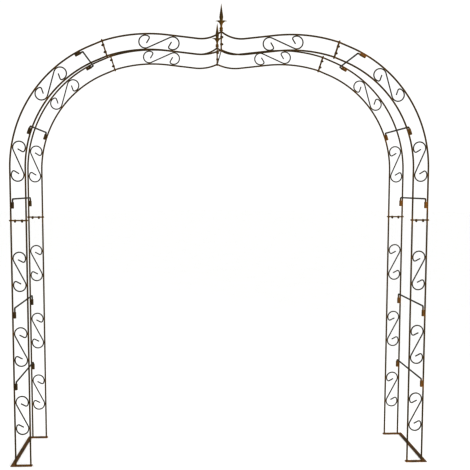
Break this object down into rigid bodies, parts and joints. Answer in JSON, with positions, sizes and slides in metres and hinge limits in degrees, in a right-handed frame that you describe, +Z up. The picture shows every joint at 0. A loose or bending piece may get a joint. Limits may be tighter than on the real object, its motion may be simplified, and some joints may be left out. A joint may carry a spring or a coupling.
{
  "type": "garden trellis arch",
  "caption": "Free-standing metal garden arch with an ogee top: twin bent-rod frames filled with S-scrolls, tied by drop-in crossbars, for a path and climbing plants.",
  "frame": {"origin": "on the ground, in the middle of the arch, half way between the front and rear frames", "axes": "+Z up, X across the walkway from the left leg to the right leg, +Y through the walkway from the front frame to the rear frame"},
  "size_m": [2.216, 0.42, 2.4],
  "materials": {
    "frame_rod": "dark brown patina, slightly rusted, satin",
    "scroll_rod": "dark grey iron, matt",
    "joint_plate": "dark brown with light rust",
    "finial": "dark rust brown, cast skin",
    "sleeve": "rust brown, matt",
    "crossbar": "dark brown patina, lightly rusted",
    "foot_bar": "brown rust, matt",
    "fastener": "blackened, matt"
  },
  "bodies": {
    "arch": {"front_left_leg_outer_rod": "frame_rod", "front_left_leg_inner_rod": "frame_rod", "front_left_corner_outer_rod": "frame_rod", "front_left_corner_inner_rod": "frame_rod", "front_left_top_outer_rod": "frame_rod", "front_left_top_inner_rod": "frame_rod", "front_right_leg_outer_rod": "frame_rod", "front_right_leg_inner_rod": "frame_rod", "front_right_corner_outer_rod": "frame_rod", "front_right_corner_inner_rod": "frame_rod", "front_right_top_outer_rod": "frame_rod", "front_right_top_inner_rod": "frame_rod", "rear_left_leg_outer_rod": "frame_rod", "rear_left_leg_inner_rod": "frame_rod", "rear_left_corner_outer_rod": "frame_rod", "rear_left_corner_inner_rod": "frame_rod", "rear_left_top_outer_rod": "frame_rod", "rear_left_top_inner_rod": "frame_rod", "rear_right_leg_outer_rod": "frame_rod", "rear_right_leg_inner_rod": "frame_rod", "rear_right_corner_outer_rod": "frame_rod", "rear_right_corner_inner_rod": "frame_rod", "rear_right_top_outer_rod": "frame_rod", "rear_right_top_inner_rod": "frame_rod", "front_left_leg_scrolls": "scroll_rod", "front_left_corner_scrolls": "scroll_rod", "front_right_leg_scrolls": "scroll_rod", "front_right_corner_scrolls": "scroll_rod", "rear_left_leg_scrolls": "scroll_rod", "rear_left_corner_scrolls": "scroll_rod", "rear_right_leg_scrolls": "scroll_rod", "rear_right_corner_scrolls": "scroll_rod", "front_top_scrolls": "scroll_rod", "rear_top_scrolls": "scroll_rod", "front_joint_plates": "joint_plate", "front_mating_plates": "joint_plate", "front_finial": "finial", "rear_joint_plates": "joint_plate", "rear_mating_plates": "joint_plate", "rear_finial": "finial", "front_left_sleeves": "sleeve", "front_right_sleeves": "sleeve", "rear_left_sleeves": "sleeve", "rear_right_sleeves": "sleeve", "left_foot": "foot_bar", "right_foot": "foot_bar", "peak_tie": "crossbar", "bolts": "fastener", "nuts": "fastener"},
    "left_lower_leg_crossbar": {"left_lower_leg_crossbar": "crossbar"},
    "left_upper_leg_crossbar": {"left_upper_leg_crossbar": "crossbar"},
    "left_waist_crossbar": {"left_waist_crossbar": "crossbar"},
    "left_corner_crossbar": {"left_corner_crossbar": "crossbar"},
    "left_shoulder_crossbar": {"left_shoulder_crossbar": "crossbar"},
    "right_lower_leg_crossbar": {"right_lower_leg_crossbar": "crossbar"},
    "right_upper_leg_crossbar": {"right_upper_leg_crossbar": "crossbar"},
    "right_waist_crossbar": {"right_waist_crossbar": "crossbar"},
    "right_corner_crossbar": {"right_corner_crossbar": "crossbar"},
    "right_shoulder_crossbar": {"right_shoulder_crossbar": "crossbar"}
  },
  "joints": [
    {"name": "left_lower_leg_lift", "type": "slide", "parent": "arch", "child": "left_lower_leg_crossbar", "axis": [0, 0, 1], "range_m": [0, 0.03]},
    {"name": "left_upper_leg_lift", "type": "slide", "parent": "arch", "child": "left_upper_leg_crossbar", "axis": [0, 0, 1], "range_m": [0, 0.03]},
    {"name": "left_waist_lift", "type": "slide", "parent": "arch", "child": "left_waist_crossbar", "axis": [0, 0, 1], "range_m": [0, 0.03]},
    {"name": "left_corner_lift", "type": "slide", "parent": "arch", "child": "left_corner_crossbar", "axis": [0.3205, 0, 0.9472], "range_m": [0, 0.03]},
    {"name": "left_shoulder_lift", "type": "slide", "parent": "arch", "child": "left_shoulder_crossbar", "axis": [0.8887, 0, 0.4586], "range_m": [0, 0.03]},
    {"name": "right_lower_leg_lift", "type": "slide", "parent": "arch", "child": "right_lower_leg_crossbar", "axis": [0, 0, 1], "range_m": [0, 0.03]},
    {"name": "right_upper_leg_lift", "type": "slide", "parent": "arch", "child": "right_upper_leg_crossbar", "axis": [0, 0, 1], "range_m": [0, 0.03]},
    {"name": "right_waist_lift", "type": "slide", "parent": "arch", "child": "right_waist_crossbar", "axis": [0, 0, 1], "range_m": [0, 0.03]},
    {"name": "right_corner_lift", "type": "slide", "parent": "arch", "child": "right_corner_crossbar", "axis": [-0.3205, 0, 0.9472], "range_m": [0, 0.03]},
    {"name": "right_shoulder_lift", "type": "slide", "parent": "arch", "child": "right_shoulder_crossbar", "axis": [-0.8887, 0, 0.4586], "range_m": [0, 0.03]}
  ]
}
